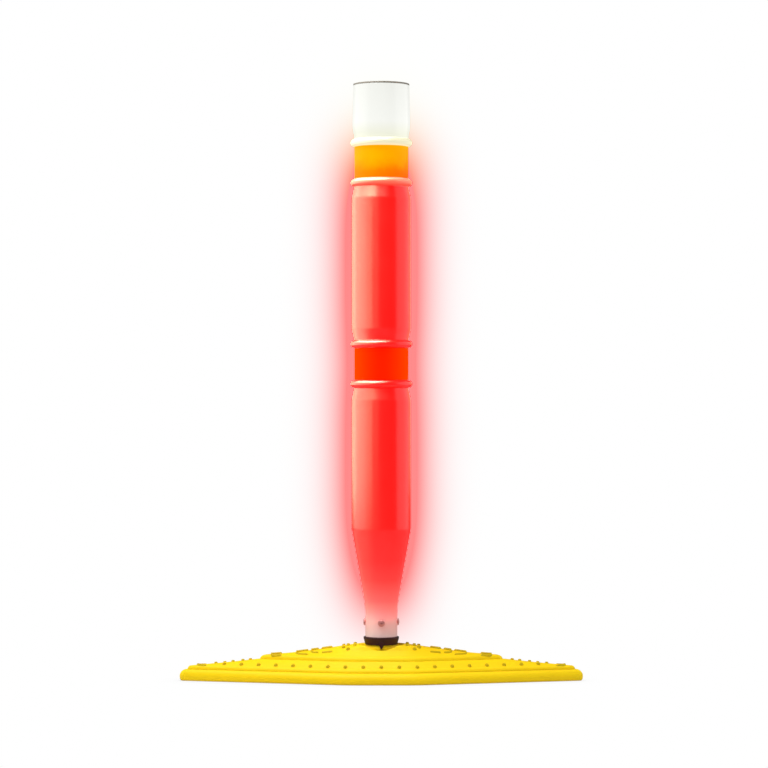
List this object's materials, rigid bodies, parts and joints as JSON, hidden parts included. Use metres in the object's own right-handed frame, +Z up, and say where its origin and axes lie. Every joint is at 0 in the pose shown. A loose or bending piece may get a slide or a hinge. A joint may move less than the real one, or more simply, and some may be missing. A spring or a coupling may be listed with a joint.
{
  "type": "illuminated traffic delineator post on a rubber base",
  "caption": "Translucent red-lit traffic delineator post with an amber band and a white lamp on top, twist-locked into a long stepped yellow rubber base.",
  "frame": {"origin": "on the ground under the axis of the post, at the centre of the base's underside", "axes": "+Z up along the post, +X along the length of the base, -Y the front, where the pointer on the collar is"},
  "size_m": [0.672, 0.158, 0.9952],
  "materials": {
    "yellow_rubber": "matte moulded yellow rubber with a fine grain",
    "dark_plastic": "satin brown-black injection-moulded plastic",
    "bolt_steel": "plain zinc-plated steel",
    "lit_tube": "translucent blow-moulded plastic lit red from inside",
    "red_sheeting": "smooth red-orange film, lit from behind",
    "amber_lens": "smooth translucent amber sleeve, lit from inside",
    "white_lens": "milky white translucent plastic",
    "cap_plastic": "grey moulded plastic"
  },
  "bodies": {
    "base": {"rubber_base": "yellow_rubber"},
    "post": {"twist_lock_plug": "dark_plastic", "neck_bolt_front": "bolt_steel", "neck_bolt_right": "bolt_steel", "neck_bolt_back": "bolt_steel", "neck_bolt_left": "bolt_steel", "tube_body": "lit_tube", "red_band": "red_sheeting", "amber_band": "amber_lens", "lamp_lens": "white_lens", "lamp_cap": "cap_plastic"}
  },
  "joints": [
    {"name": "post_twist", "type": "hinge", "parent": "base", "child": "post", "pos_m": [0, 0, 0.0603], "axis": [0, 0, 1], "range_deg": [0, 90]}
  ]
}
